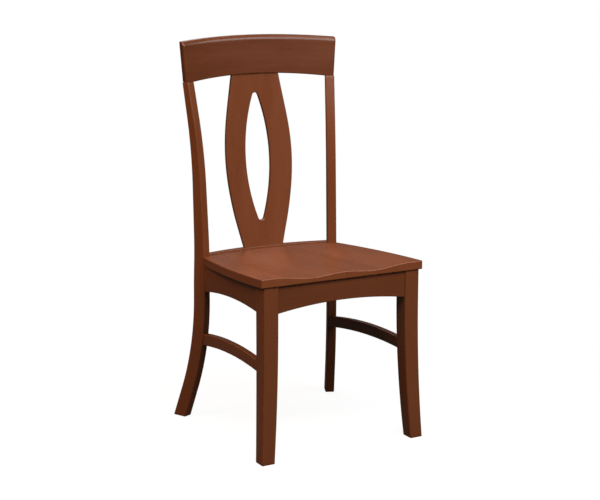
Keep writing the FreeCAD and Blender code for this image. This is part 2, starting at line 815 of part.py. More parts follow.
def screwed(solid, which):
    """Cut the screw holes into a right-hand block or leg; which is 0 front, 1 rear."""
    solid = solid.cut(seat_screw(seat_screw_points()[which], screw_fit))
    return solid.cut(leg_screw(*leg_screw_points()[which], screw_fit))


def screw_group(screws):
    """Right-hand screws and their mirror images as separate solids."""
    return Part.makeCompound(screws + [mirrored(screw) for screw in screws])


def finished_leg(blank):
    solid = blank.makeFillet(leg_round, long_edges(blank))
    solid = bored(solid, ("front", "side_front"))
    solid = solid.cut(stretcher_tenons(tenon_fit)[0])
    return screwed(solid, 0)


def finished_post(blank):
    solid = blank.makeFillet(post_round, long_edges(blank))
    solid = bored(solid, ("side_rear", "rail", "crest"))
    solid = solid.cut(stretcher_tenons(tenon_fit)[1])
    return screwed(solid, 1)


def finished_seat():
    solid = seat_panel()
    for point in seat_screw_points():
        hole = seat_screw(point, screw_fit)
        solid = solid.cut(hole).cut(mirrored(hole))
    return solid


def build():
    """Every piece of the chair by name."""
    leg = leg_blank()
    post = post_blank()
    legs = (leg, mirrored(leg))
    posts = (post, mirrored(post))
    apron = side_apron(leg)
    pieces = {}

    def pair(name, solid):
        pieces[name + "_right"] = solid
        pieces[name + "_left"] = mirrored(solid)
    pair("front_leg", finished_leg(leg))
    pair("rear_post", finished_post(post))
    pair("side_apron", bored(apron, ("side_front", "side_rear")))
    pair("side_stretcher", side_stretcher(leg, post))
    pair("corner_block_front", screwed(front_block(), 0))
    pair("corner_block_rear", screwed(rear_block(apron), 1))
    pieces["front_apron"] = bored_both(front_apron(legs), ("front",))
    pieces["rear_rail"] = bored_both(rear_rail(posts), ("rail",))
    crest = round_crest(crest_blank()).cut(splat_blank(splat_fit))
    pieces["crest_rail"] = bored_both(crest, ("crest",))
    pieces["back_splat"] = splat_blank().cut(opening_prism())
    pieces["seat_panel"] = finished_seat()
    pieces["crest_dowels"] = dowels_for(("crest",))
    pieces["apron_dowels"] = dowels_for(("front", "side_front", "side_rear"))
    pieces["rail_dowels"] = dowels_for(("rail",))
    pieces["seat_screws"] = screw_group([seat_screw(point, 0.0) for point in seat_screw_points()])
    pieces["corner_screws"] = screw_group([leg_screw(*place, 0.0) for place in leg_screw_points()])
    return pieces


pieces = build()
whole = Part.makeCompound(list(pieces.values())).optimalBoundingBox()
middle_y = (whole.YMin + whole.YMax) / 2
for name, shape in pieces.items():
    moved = shape.translated(V(0, -middle_y, 0))
    moved.exportStep("parts/" + name + ".step")
    print(name, moved.isValid(), len(moved.Solids), round(moved.Volume / 1000, 2), "cm3")
print("middle", round(middle_y, 3), "box", whole)
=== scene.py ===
# %% [markdown]
# # A dining chair in stained wood
#
# This lesson dresses a finished construction model of a chair. The model comes in as a
# fixed frame: its pieces have their true size and place, and nothing here moves them.
# The wooden pieces that show are made again as clean surfaces with eased edges, and
# each gets its own run of grain, because on a real chair every piece is a board of its own.

# %% Load the construction model
import math

import bpy
import numpy as np
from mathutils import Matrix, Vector


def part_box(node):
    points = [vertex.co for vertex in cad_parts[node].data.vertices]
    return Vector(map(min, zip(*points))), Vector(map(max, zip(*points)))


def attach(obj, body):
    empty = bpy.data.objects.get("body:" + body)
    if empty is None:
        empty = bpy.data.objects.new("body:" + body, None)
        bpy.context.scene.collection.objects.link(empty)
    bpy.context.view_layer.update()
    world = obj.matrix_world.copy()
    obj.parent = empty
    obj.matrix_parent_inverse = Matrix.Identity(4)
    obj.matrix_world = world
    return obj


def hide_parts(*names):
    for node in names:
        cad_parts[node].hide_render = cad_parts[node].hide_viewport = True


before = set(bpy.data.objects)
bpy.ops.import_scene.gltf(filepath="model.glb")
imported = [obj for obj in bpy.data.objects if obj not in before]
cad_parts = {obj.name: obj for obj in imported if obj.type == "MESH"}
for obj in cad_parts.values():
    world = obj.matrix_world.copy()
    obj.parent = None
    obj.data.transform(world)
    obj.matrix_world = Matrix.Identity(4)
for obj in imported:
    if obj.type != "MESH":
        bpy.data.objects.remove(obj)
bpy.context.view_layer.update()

for node in sorted(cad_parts):
    low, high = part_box(node)
    print(node, "is", [round(1000 * (high[i] - low[i]), 1) for i in range(3)], "mm")

# %% [markdown]
# ## The camera
#
# A camera is a place, a direction and a lens. The picture was taken from the sitter's
# right front, a little above the seat. The place, the angles and the lens below were fitted
# to the outlines of the chair, so they are estimates. They are in metres and degrees, and
# the lens is in millimetres on a sensor 36 mm wide. A long lens from far away keeps the
# legs almost parallel.

# %% Camera
lens = bpy.data.cameras.new("camera")
lens.sensor_width = 36.0
lens.lens = 89.06
lens.clip_end = 60.0
camera = bpy.data.objects.new("camera", lens)
camera.location = (-1.8052, -3.2410, 1.2261)
camera_heading = 29.268
camera_dip = 11.616
camera.rotation_euler = (math.radians(90 - camera_dip), 0, math.radians(-camera_heading))
bpy.context.scene.collection.objects.link(camera)
bpy.context.scene.camera = camera
bpy.context.scene.view_settings.view_transform = "Standard"
print("The camera stands", round(camera.location.length, 2), "m from the middle of the floor")

# %% [markdown]
# ## From arrays to meshes
#
# Every new piece is a grid of points that closes into a skin. A board is a loop of points,
# its section, repeated along its length. Numpy works out all the points at once, and
# from_pydata only has to be told which points make each face. All the work is done in
# millimetres, from near the front of the front legs, as a chair maker would measure; the
# last step turns it into metres and moves it so that the origin is under the middle.

# %% Mesh helpers
METRE = 0.001
MIDDLE_Y = 231.3
BOARD_STEP = np.array([1.37, 2.877, 0.0])      # metres in the tree from one board to the next


def tube_faces(rings, around, closed=False):
    """Quads of a tube: rings i and i + 1 share each pair of neighbours, and the loop closes.

    A closed tube joins its last ring to its first, which makes a ring of it."""
    i, j = np.meshgrid(np.arange(rings if closed else rings - 1), np.arange(around), indexing="ij")
    following, after = (i + 1) % rings, (j + 1) % around
    quads = [i * around + j, i * around + after, following * around + after, following * around + j]
    return np.stack(quads, -1).reshape(-1, 4)


def cap_faces(first, around, start, turned):
    """Quads across the end of a tube: from a start, the loop's two halves join like a ladder."""
    k = np.arange(around // 2 - 1)
    one, other = start + k, start - 1 - k
    quads = first + np.stack([one, one + 1, other - 1, other], -1) % around
    return quads if turned else quads[:, ::-1]


def signed_volume(points, faces):
    """Sum of the volumes between the origin and each face; above zero if faces look outwards."""
    a, b, c, d = (points[faces[:, k]] for k in range(4))
    return (np.einsum("ij,ij->", a, np.cross(b, c)) + np.einsum("ij,ij->", a, np.cross(c, d))) / 6


def make_piece(name, points, faces, board, tone=0.0, sharp_angle=35):
    """A mesh object from points and faces in millimetres, with its board coordinates.

    The board coordinates are an attribute: how far each point lies along the grain,
    across it and into the thickness, plus a large step that gives each board its own grain.
    tone makes the board lighter or darker than its neighbours: mostly how it
    took the stain, but on the front apron it is painted shade from the seat's overhang."""
    if signed_volume(points, faces) < 0:
        faces = faces[:, ::-1]
    mesh = bpy.data.meshes.new(name)
    mesh.from_pydata(((points - [0, MIDDLE_Y, 0]) * METRE).tolist(), [], faces.tolist())
    own = board * METRE + BOARD_STEP * len(bpy.data.meshes)
    attribute = mesh.attributes.new("board", "FLOAT_VECTOR", "POINT")
    attribute.data.foreach_set("vector", np.ascontiguousarray(own, np.float32).ravel())
    attribute = mesh.attributes.new("tone", "FLOAT", "POINT")
    attribute.data.foreach_set("value", np.full(len(points), tone, np.float32))
    mesh.shade_smooth()
    mesh.set_sharp_from_angle(angle=math.radians(sharp_angle))
    piece = bpy.data.objects.new(name, mesh)
    bpy.context.scene.collection.objects.link(piece)
    print(name, "has", len(points), "points and", round(signed_volume(points, faces) / 1000), "cm3")
    return piece


# %% [markdown]
# ## A board with eased edges
#
# Legs, posts, rails and aprons are all boards. Each has a section that is a rectangle with
# rounded corners, and its two ends are eased too. One function makes them all: it asks the
# piece only where a point lies, given how far it is along the board, across it and up it.
# A maker rounds such edges with a router or with sandpaper. A cube with a bevel would
# do for a straight board, but nearly every board of this chair is curved or tapered.

# %% Board builder
CORNER_STEPS = 6
EASE_STEPS = 4
LEAST_RADIUS = 0.1
NEAR_CORNER = 0.02      # share of a side between a corner and the point that keeps it flat
CAP_LOOP = 0.5          # millimetres inside an end face, for the loop that keeps it flat


def rounded_section(radii, steps, width, height, inset):
    """Loops of rounded rectangles, as across and up values for each station of a board.

    radii are those of the corners near-low, far-low, far-high and near-high. Each corner is a
    quarter circle round a centre one radius inside both sides, and steps more points lie
    on the sides low, far, high and near, two of them close to the corners, so that the
    flat sides stay flat in smooth shading. inset shrinks the whole loop at that station."""
    across, up = [], []
    for k, (far_side, high_side) in enumerate([(0, 0), (1, 0), (1, 1), (0, 1)]):
        r = np.maximum(radii[k] - inset, LEAST_RADIUS)[:, None]
        turn = np.radians(180 + 90 * k + np.linspace(0, 90, CORNER_STEPS))
        middle_x = (width - inset)[:, None] - r if far_side else inset[:, None] + r
        middle_y = (height - inset)[:, None] - r if high_side else inset[:, None] + r
        across.append(middle_x + r * np.cos(turn))
        up.append(middle_y + r * np.sin(turn))
    loop_x, loop_y = [], []
    for k in range(4):
        share = np.concatenate([[NEAR_CORNER], np.linspace(0, 1, steps[k])[1:-1], [1 - NEAR_CORNER]])
        for loop, parts in ((loop_x, across), (loop_y, up)):
            last, following = parts[k][:, -1:], parts[(k + 1) % 4][:, :1]
            loop += [parts[k], last * (1 - share) + following * share]
    return np.concatenate(loop_x, 1), np.concatenate(loop_y, 1)


def stations(low, high, count, ease_low=1.5, ease_high=1.5, extra=()):
    """Places along a board and how far its section shrinks at each.

    An eased end is a quarter circle: the place nears the end by the cosine of a turn, and
    the section shrinks by what its sine leaves of the radius. One more loop a little
    inside the end keeps the end face flat. extra adds places along the middle."""
    turn = np.radians(np.linspace(0, 90, EASE_STEPS + 1)[:-1])
    middle = np.linspace(low + ease_low, high - ease_high, count)
    middle = np.union1d(middle, extra)
    along = [[low], low + ease_low * (1 - np.cos(turn)), middle,
             high - ease_high * (1 - np.cos(turn[::-1])), [high]]
    inset = [[ease_low + CAP_LOOP], ease_low * (1 - np.sin(turn)), 0 * middle,
             ease_high * (1 - np.sin(turn[::-1])), [ease_high + CAP_LOOP]]
    return np.concatenate(along), np.concatenate(inset)


def make_board(name, along, inset, width, height, place, radii=(2, 2, 2, 2), steps=(2, 2, 2, 2),
               grain=(0, 1, 2), side=1, tone=0.0):
    """A board: its rounded section at each station, put in place, with both ends closed.

    place turns arrays of along, across and up into x, y and z. grain says which of the three
    runs with the grain, across it and into the thickness. side -1 mirrors the board."""
    width, height = np.broadcast_to(width, along.shape), np.broadcast_to(height, along.shape)
    across, up = rounded_section(radii, steps, width, height, inset)
    along = np.repeat(along[:, None], across.shape[1], 1)
    points = np.stack(np.broadcast_arrays(*place(along, across, up)), -1) * [side, 1, 1]
    board = np.stack([(along, across, up)[k] for k in grain], -1)
    rings, around = across.shape
    start = -(steps[3] // 2)
    faces = [tube_faces(rings, around), cap_faces(0, around, start, False),
             cap_faces((rings - 1) * around, around, start, True)]
    return make_piece(name, points.reshape(-1, 3), np.concatenate(faces), board.reshape(-1, 3), tone)


# %% [markdown]
# ## The seat's slope
#
# Everything under the seat is cut to its underside, so two small functions come first. The
# seat falls a little to the back, by two and a half degrees, which is how a dining chair
# keeps its sitter against the back. Its top is 457 mm high at the front edge.

# %% Slope of the seat
SEAT_ANGLE = math.radians(2.5)
SEAT_HIGH = 457.4
SEAT_FRONT = -8.7
SEAT_THICK = 22.0 / math.cos(SEAT_ANGLE)
RAIL_FRONT = 405.5


def seat_z(y):
    """Height of the seat's rim: it falls evenly from its height at the front edge."""
    return SEAT_HIGH - math.tan(SEAT_ANGLE) * (y - SEAT_FRONT)


def under_z(y):
    """Height of the underside, one thickness lower."""
    return seat_z(y) - SEAT_THICK


print("The seat's underside falls from", round(under_z(SEAT_FRONT), 1), "mm to",
      round(under_z(RAIL_FRONT), 1), "mm")

# %% [markdown]
# ## Front legs
#
# The front legs are almost square at the seat frame, and from 366 mm down they curve out
# and forward to a smaller foot. A maker saws both curves from a template. Here each of the
# four faces follows its own arc, so the leg tapers as it bends.

# %% Front legs
LEG_BEND = 366.0
LEG_FRONT, LEG_BACK, LEG_INNER, LEG_OUTER = -4.6, 37.0, 178.8, 218.6
FRONT_SHIFT, BACK_SHIFT, INNER_SHIFT, OUTER_SHIFT = -9.9, -16.0, 16.7, 11.4      # at the floor
FOOT_EASE = 1.5
TOP_EASE, JOINT_EASE = 0.4, 0.3      # ends that meet another piece are left almost sharp
LEG_RADIUS = 2.5


def bend_at(shift, z):
    """How far an arc has moved a face at a height: it starts upright at the bend, and
    its radius is the one that moves the face by the whole shift at the floor."""
    radius = (LEG_BEND ** 2 + shift ** 2) / (2 * abs(shift))
    drop = np.maximum(LEG_BEND - z, 0)
    return math.copysign(1, shift) * (radius - np.sqrt(radius ** 2 - drop ** 2))


def on_leg(along, across, up):
    """Inner and front faces move along their arcs, and the top follows the seat's slope."""
    y = LEG_FRONT + bend_at(FRONT_SHIFT, along) + up
    x = LEG_INNER + bend_at(INNER_SHIFT, along) + across
    return x, y, along * under_z(y) / under_z(LEG_FRONT)


wooden = {}
SIDES = (("right", 1), ("left", -1))
along, inset = stations(0, under_z(LEG_FRONT), 60, FOOT_EASE, TOP_EASE)
leg_wide = LEG_OUTER - LEG_INNER + bend_at(OUTER_SHIFT, along) - bend_at(INNER_SHIFT, along)
leg_deep = LEG_BACK - LEG_FRONT + bend_at(BACK_SHIFT, along) - bend_at(FRONT_SHIFT, along)
for name, side in SIDES:
    wooden["front_leg_" + name] = make_board("leg_front_" + name, along, inset, leg_wide, leg_deep,
                                             on_leg, (LEG_RADIUS,) * 4, side=side)

# %% [markdown]
# ## Rear posts
#
# Each rear post is one sawn board from the floor to the crest rail. Its front edge is
# straight where the seat frame joins it and sweeps back above and below. The board is
# turned towards the sitter, so it shows its broad outer side, and leans out a little
# towards the floor. The shape is worked out on the flat board first and then turned.

# %% Rear posts
POST_LEVEL = 375.0
POST_CORNER = np.array([198.1, 362.9])
POST_WIDE = 24.5
POST_DEEP = 36.2
POST_THINNING, POST_THICKENING = 0.032, 0.010      # millimetres of depth for each one of height
POST_RADIUS = 3.0
CREST_UNDER = 885.0
POST_TURN = math.radians(90 - 24.7)
POST_SPLAY = math.radians(0.38)
POST_BACKWARD = np.array([math.cos(POST_TURN), math.sin(POST_TURN)])
POST_INWARD = np.array([-math.sin(POST_TURN), math.cos(POST_TURN)])
LOW_ARC, FIRST_ARC, SECOND_ARC = 740.0, 1390.0, 1320.0
FOOT_LEVEL, LOW_LEVEL = 80.0, 325.0
FIRST_LEVEL, LEAN_LEVEL, SECOND_LEVEL, TOP_LEVEL = 425.0, 500.0, 620.0, 800.0


def front_sweep(z):
    """How far the front edge lies behind its straight part at a height.

    Below the straight part it follows the low arc and then that arc's tangent. Above, it
    follows two arcs, with a straight stretch between them and another at the top. An arc
    moves back by its radius less the root of the radius squared less the rise squared."""
    drop = LOW_LEVEL - np.clip(z, FOOT_LEVEL, LOW_LEVEL)
    low = LOW_ARC - np.sqrt(LOW_ARC ** 2 - drop ** 2)
    low = low + np.maximum(FOOT_LEVEL - z, 0) * np.tan(np.arcsin(drop / LOW_ARC))
    rise = np.clip(z, FIRST_LEVEL, LEAN_LEVEL) - FIRST_LEVEL
    high = FIRST_ARC - np.sqrt(FIRST_ARC ** 2 - rise ** 2)
    lean = math.asin((LEAN_LEVEL - FIRST_LEVEL) / FIRST_ARC)
    high = high + (np.clip(z, LEAN_LEVEL, SECOND_LEVEL) - LEAN_LEVEL) * math.tan(lean)
    rise = np.clip(z, SECOND_LEVEL, TOP_LEVEL) - SECOND_LEVEL
    steeper = np.arcsin(math.sin(lean) + rise / SECOND_ARC)
    high = high + SECOND_ARC * (math.cos(lean) - np.cos(steeper))
    return low + high + np.maximum(z - TOP_LEVEL, 0) * np.tan(steeper)


def post_depth(z):
    """Depth of the post: it tapers upwards and grows slightly towards the floor."""
    above, below = np.maximum(z - POST_LEVEL, 0), np.maximum(POST_LEVEL - z, 0)
    return POST_DEEP - POST_THINNING * above + POST_THICKENING * below


def on_post(along, across, up):
    """A point of the flat board, tilted by the splay and turned to its place.

    along is the real height, so the height on the board is worked back from it."""
    climb = along - POST_LEVEL + across * math.sin(POST_SPLAY)
    board_z = POST_LEVEL + climb / math.cos(POST_SPLAY)
    backward = front_sweep(board_z) + up
    inward = across * math.cos(POST_SPLAY) + (board_z - POST_LEVEL) * math.sin(POST_SPLAY)
    x = POST_CORNER[0] + backward * POST_BACKWARD[0] + inward * POST_INWARD[0]
    y = POST_CORNER[1] + backward * POST_BACKWARD[1] + inward * POST_INWARD[1]
    return x, y, along


along, inset = stations(0, CREST_UNDER, 120, FOOT_EASE, JOINT_EASE)
for name, side in SIDES:
    wooden["rear_post_" + name] = make_board("post_" + name, along, inset, POST_WIDE,
                                             post_depth(along), on_post, (POST_RADIUS,) * 4, side=side)

# %% [markdown]
# ## Side aprons and side stretchers
#
# Both run from the back of a front leg to the front face of a rear post. The apron has
# a straight top under the seat and an arched lower edge. The stretcher is bowed upwards
# as a whole. Their ends are cut to the faces that they meet, and those faces are curved or
# turned, so the length is worked out for every point of the section.

# %% Side boards
APRON_TALL, APRON_REAR_TALL, APRON_RISE, APRON_THICK = 67.7, 69.7, 12.0, 20.0
APRON_LONG, BAR_LONG = 326.0, 320.0      # near enough to size the eased ends
APRON_RADII = (1.8, 1.8, 0.3, 0.3)      # the lower edges are eased, and the seat hides the upper
BAR_TALL, BAR_GROWTH, BAR_RISE, BAR_THICK = 28.0, 2.3, 11.5, 17.0
BAR_FRONT_TOP, BAR_REAR_TOP = 246.8, 235.1
BAR_GAP = 0.3


def side_board(start, end, gap, low_line):
    """A place function for a board between a front leg and a rear post.

    The point runs from where its line crosses the back of the leg to where it crosses the
    front of the post. Its height is that of the board's lower edge, which arches by
    4 * rise * share * (1 - share), plus up."""
    run = (end - start) / np.linalg.norm(end - start)
    inward = np.array([-run[1], run[0]])

    def place(along, across, up):
        first, last, rise = low_line
        z = first + (last - first) * along + 4 * rise * along * (1 - along) + up
        x, y = start[0] + inward[0] * across, start[1] + inward[1] * across
        at_leg = (LEG_BACK + bend_at(BACK_SHIFT, z) + gap - y) / run[1]
        behind = POST_BACKWARD[0] * (x - POST_CORNER[0]) + POST_BACKWARD[1] * (y - POST_CORNER[1])
        at_post = (front_sweep(z) - gap - behind) / (run @ POST_BACKWARD)
        reach = at_leg + (at_post - at_leg) * along
        return x + run[0] * reach, y + run[1] * reach, z
    return place


def share_stations(length, count, ease):
    """Stations from 0 to 1 for a board of a length in millimetres."""
    along, inset = stations(0, length, count, ease, ease)
    return along / length, inset


side_start, side_end = np.array([213.5, LEG_BACK]), np.array([198.0, POST_CORNER[1]])
front_top, rear_top = under_z(LEG_BACK), under_z(side_end[1])
front_low, rear_low = front_top - APRON_TALL, rear_top - APRON_REAR_TALL
along, inset = share_stations(APRON_LONG, 40, TOP_EASE)
arch = 4 * APRON_RISE * along * (1 - along)
apron_tall = (front_top + (rear_top - front_top) * along
              - (front_low + (rear_low - front_low) * along + arch))
apron_place = side_board(side_start, side_end, 0.0, (front_low, rear_low, APRON_RISE))
for name, side in SIDES:
    wooden["side_apron_" + name] = make_board("apron_" + name, along, inset, APRON_THICK, apron_tall,
                                              apron_place, APRON_RADII, side=side)

bar_start = np.array([214.4, LEG_BACK])
post_front = on_post(BAR_REAR_TOP - (BAR_TALL + BAR_GROWTH) / 2, 0.0, 0.0)
bar_end = np.array([post_front[0] - 1.9, post_front[1]])
bar_low = (BAR_FRONT_TOP - BAR_TALL, BAR_REAR_TOP - BAR_TALL - BAR_GROWTH, BAR_RISE)
bar_place = side_board(bar_start, bar_end, BAR_GAP, bar_low)
along, inset = share_stations(BAR_LONG, 40, JOINT_EASE)
for name, side in SIDES:
    wooden["side_stretcher_" + name] = make_board("stretcher_" + name, along, inset, BAR_THICK,
                                                  BAR_TALL + BAR_GROWTH * along, bar_place,
                                                  (LEG_RADIUS,) * 4, side=side)

# %% [markdown]
# ## Front apron
#
# The front apron is straight seen from above, and its lower edge arches up by 15 mm
# between the legs. A maker cuts that arch with a band saw before the frame is glued up.

# %% Front apron
FRONT_APRON_Y, FRONT_RISE = -2.0, 14.7


def front_arch(x):
    """How far the lower edge rises: a parabola that is zero at the legs."""
    return FRONT_RISE * (1 - (x / LEG_INNER) ** 2)


def on_front_apron(along, across, up):
    """Upright board: the lower edge follows a parabola, and the top the seat's slope."""
    y = FRONT_APRON_Y + across
    low = under_z(SEAT_FRONT) - APRON_TALL + front_arch(along)
    return along, y, low + up * (under_z(y) - low) / (under_z(SEAT_FRONT) - low)


along, inset = stations(-LEG_INNER, LEG_INNER, 50, JOINT_EASE, JOINT_EASE)
# The front apron's darker tone is painted shade: the shade that the overhanging seat casts on it.
wooden["front_apron"] = make_board("apron_front", along, inset, APRON_THICK,
                                   APRON_TALL - front_arch(along), on_front_apron, APRON_RADII,
                                   tone=-0.16)

# %% [markdown]
# ## Rear rail
#
# The rear rail is bowed backwards like the sitter's back. Its top stands a few millimetres
# above the seat and holds the foot of the splat, and its ends are cut to the turned posts.

# %% Rear rail
RAIL_STEP, RAIL_RISE, RAIL_DROP = 3.5, 12.0, 14.0      # above the seat, above an apron, to the ends
RAIL_TOP = seat_z(RAIL_FRONT) + RAIL_STEP
RAIL_MIDDLE = under_z(RAIL_FRONT) - APRON_TALL + RAIL_RISE
RAIL_ARC, RAIL_THICK, RAIL_LONG = 620.0, 21.0, 364.0


def on_rail(along, across, up):
    """Bowed board: a share along the arc of its radius, from post face to post face.

    The arc's radius plus across meets the inner face of the post where the distance
    from the arc's middle, squared, is that radius squared. The lower edge drops to both
    ends by a parabola."""
    z = RAIL_MIDDLE - RAIL_DROP * along ** 2 + up
    x, y, z = on_post(z, POST_WIDE, 0.0)
    radius, centre_y = RAIL_ARC + across, RAIL_FRONT - RAIL_ARC
    ahead = x * POST_BACKWARD[0] + (y - centre_y) * POST_BACKWARD[1]
    far = np.sqrt(ahead ** 2 - x ** 2 - (y - centre_y) ** 2 + radius ** 2) - ahead
    x = along * (x + far * POST_BACKWARD[0])
    return x, centre_y + np.sqrt(radius ** 2 - x ** 2), z


along, inset = share_stations(RAIL_LONG, 50, JOINT_EASE)
along = 2 * along - 1
wooden["rear_rail"] = make_board("rail_rear", along, inset, RAIL_THICK,
                                 RAIL_TOP - RAIL_MIDDLE + RAIL_DROP * along ** 2, on_rail,
                                 (1.5, 1.5, 2.0, 1.5))

# %% [markdown]
# ## Crest rail
#
# The crest rail caps the two posts. It is bowed, hollow towards the sitter, and leans back
# by three degrees. Its top and bottom edges arch upwards, and its ends flare outwards. The
# front top edge is rounded most, because that is where hands pull the chair out, and the
# front is rounded into both end faces too.

# %% Crest rail
CREST_ARC = 600.0
CREST_THICK, CREST_END_TALL, CREST_FLARE = 20.0, 101.5, 7.5
CREST_ARCH, CREST_UNDER_ARCH = 10.1, 11.2
CREST_BEHIND, CREST_OUTSIDE, CREST_INSIDE = 3.5, 3.2, 1.5      # from the top of a post
post_top_x, post_top_y, _ = on_post(CREST_UNDER, POST_WIDE / 2, 0.0)
CREST_FRONT = post_top_y + CREST_BEHIND + CREST_ARC - math.sqrt(CREST_ARC ** 2 - post_top_x ** 2)
CREST_HALF = on_post(CREST_UNDER, 0.0, 0.0)[0] + CREST_OUTSIDE
CREST_LANDING = on_post(CREST_UNDER, POST_WIDE, 0.0)[0] - CREST_INSIDE
CREST_LEAN = math.tan(math.radians(3.0))
CREST_ROUND = 7.0


def crest_low(x):
    """Lower edge: flat on the posts and arched by a parabola between them."""
    return CREST_UNDER + CREST_UNDER_ARCH * np.maximum(1 - (x / CREST_LANDING) ** 2, 0)


def crest_high(x):
    """Upper edge: a parabola over the whole width."""
    arch = CREST_ARCH * (1 - (x / (CREST_HALF + CREST_FLARE)) ** 2)
    return CREST_UNDER + CREST_END_TALL + arch


def on_crest(along, across, up):
    """Bowed and leaning board: its ends flare outwards evenly with height.

    At both ends the front turns into the end face by a quarter circle: it moves back by
    the radius less the root of the radius squared less the way into the corner squared."""
    z = crest_low(along) + up
    inside = np.clip(np.abs(along) - CREST_HALF + CREST_ROUND, 0, CREST_ROUND)
    back = CREST_ROUND - np.sqrt(CREST_ROUND ** 2 - inside ** 2)
    across = across + back * (1 - across / CREST_THICK)
    x = along * (1 + CREST_FLARE / CREST_HALF * (z - CREST_UNDER) / CREST_END_TALL)
    centre_y = CREST_FRONT - CREST_ARC + CREST_LEAN * (z - CREST_UNDER)
    return x, centre_y + np.sqrt((CREST_ARC + across) ** 2 - x ** 2), z


corner = CREST_HALF - CREST_ROUND * (1 - np.sin(np.radians([0, 10, 20, 30, 40])))
along, inset = stations(-CREST_HALF, CREST_HALF, 70, 2.0, 2.0,
                        (-CREST_LANDING, CREST_LANDING, *corner, *-corner))
wooden["crest_rail"] = make_board("crest", along, inset, CREST_THICK,
                                  crest_high(along) - crest_low(along), on_crest,
                                  (2.0, 2.0, 3.0, 12.0), (4, 8, 4, 8), tone=-0.26)
print("The crest rail is", round(2 * CREST_HALF, 1), "mm wide where it lands on the posts")

# %% [markdown]
# ## Splat
#
# The splat is a thin bowed panel with a waist-like taper to both ends and one tall
# pointed opening. It is a ring in shape, a band between two closed lines, so it is made
# as one: every loop runs once round the band's own section, over the front and back over
# the rear, and the loops close into a torus. Its edges are eased by two millimetres.

# %% Splat
CREST_GROOVE = CREST_UNDER + CREST_UNDER_ARCH
SPLAT_TONGUE = 8.8      # how far both ends stand in their grooves
SPLAT_LOW, SPLAT_HIGH = RAIL_TOP - SPLAT_TONGUE, CREST_GROOVE + SPLAT_TONGUE
SPLAT_HALF, SPLAT_THICK, SPLAT_EASE = 97.4, 10.0, 2.0
SPLAT_ARC, SPLAT_BEND = 510.0, 4.4
FOOT_BEHIND, HEAD_BEHIND = 9.0, 9.2      # its middle layer, behind the rail's and the crest's front
splat_outline = np.array([(0.543, -0.023), (0.675, 0.087), (0.787, 0.178), (0.879, 0.270),
                          (0.971, 0.403), (1.0, 0.539), (0.959, 0.671), (0.862, 0.800),
                          (0.790, 0.881), (0.667, 1.021)])


def smooth_through(knots, values, wanted):
    """Natural cubic spline: its second derivatives make the slopes agree at each knot."""
    step = np.diff(knots)
    matrix = np.eye(len(knots))
    right = np.zeros(len(knots))
    inner = np.arange(1, len(knots) - 1)
    matrix[inner, inner - 1], matrix[inner, inner + 1] = step[:-1], step[1:]
    matrix[inner, inner] = 2 * (step[:-1] + step[1:])
    right[inner] = 6 * np.diff(np.diff(values) / step)
    bend = np.linalg.solve(matrix, right)
    k = np.clip(np.searchsorted(knots, wanted) - 1, 0, len(knots) - 2)
    a, b = (knots[k + 1] - wanted) / step[k], (wanted - knots[k]) / step[k]
    curve = ((a ** 3 - a) * bend[k] + (b ** 3 - b) * bend[k + 1]) * step[k] ** 2 / 6
    return a * values[k] + b * values[k + 1] + curve


def splat_y(x, z):
    """Middle layer: a line from rail to crest rail, bent back by a parabola, 4 * bend * share
    * (1 - share), and bowed by an arc across the splat."""
    share = (z - RAIL_TOP) / (CREST_GROOVE - RAIL_TOP)
    foot_y, head_y = RAIL_FRONT + FOOT_BEHIND, CREST_FRONT + HEAD_BEHIND
    bow = SPLAT_ARC - np.sqrt(SPLAT_ARC ** 2 - x ** 2)
    return foot_y + (head_y - foot_y) * share + 4 * SPLAT_BEND * share * (1 - share) - bow


print("The splat is", round(SPLAT_HIGH - SPLAT_LOW), "mm tall with its tongues")

# %% [markdown]
# The two closed lines need the same number of points, in the same order: up the right
# side, over the top, down the left side and under the bottom. The opening is two arcs that
# would meet in points, and a small arc rounds each point.

# %% The splat's two lines
SIDE_STEPS, TIP_STEPS = 90, 22
HOLE_ARC, HOLE_HALF, TIP_ARC, HOLE_RISE = 485.0, 36.2, 9.0, 9.5

turn = np.linspace(0, math.pi, SIDE_STEPS)
share = 0.35 * (1 - np.cos(turn)) / 2 + 0.65 * np.linspace(0, 1, SIDE_STEPS)
outer_z = SPLAT_LOW + (SPLAT_HIGH - SPLAT_LOW) * share
outer_x = SPLAT_HALF * smooth_through(splat_outline[:, 1], splat_outline[:, 0], share)
across = np.linspace(1, -1, TIP_STEPS + 2)[1:-1]
outer = (np.concatenate([outer_x, outer_x[-1] * across, -outer_x[::-1], -outer_x[0] * across]),
         np.concatenate([outer_z, np.full(TIP_STEPS, SPLAT_HIGH), outer_z[::-1],
                         np.full(TIP_STEPS, SPLAT_LOW)]))

offset = HOLE_ARC - HOLE_HALF
tip_z = math.sqrt((HOLE_ARC - TIP_ARC) ** 2 - offset ** 2)
reach = math.asin(tip_z / (HOLE_ARC - TIP_ARC))
turn = np.linspace(-reach, reach, SIDE_STEPS)
hole_x, hole_z = HOLE_ARC * np.cos(turn) - offset, HOLE_ARC * np.sin(turn)
turn = np.linspace(reach, math.pi - reach, TIP_STEPS + 2)[1:-1]
tip_x, tip_top = TIP_ARC * np.cos(turn), tip_z + TIP_ARC * np.sin(turn)
hole_middle = (RAIL_TOP + CREST_GROOVE) / 2 + HOLE_RISE
inner = (np.concatenate([hole_x, tip_x, -hole_x[::-1], -tip_x]),
         hole_middle + np.concatenate([hole_z, tip_top, hole_z[::-1], -tip_top]))
print("The opening is", round(2 * (tip_z + TIP_ARC), 1), "mm tall and", 2 * HOLE_HALF, "mm wide")

# %% [markdown]
# Between the two lines the section is a flat band with four rounded corners. distance says
# how far a point of the section lies from the opening's line, and layer how far behind the
# middle of the splat.

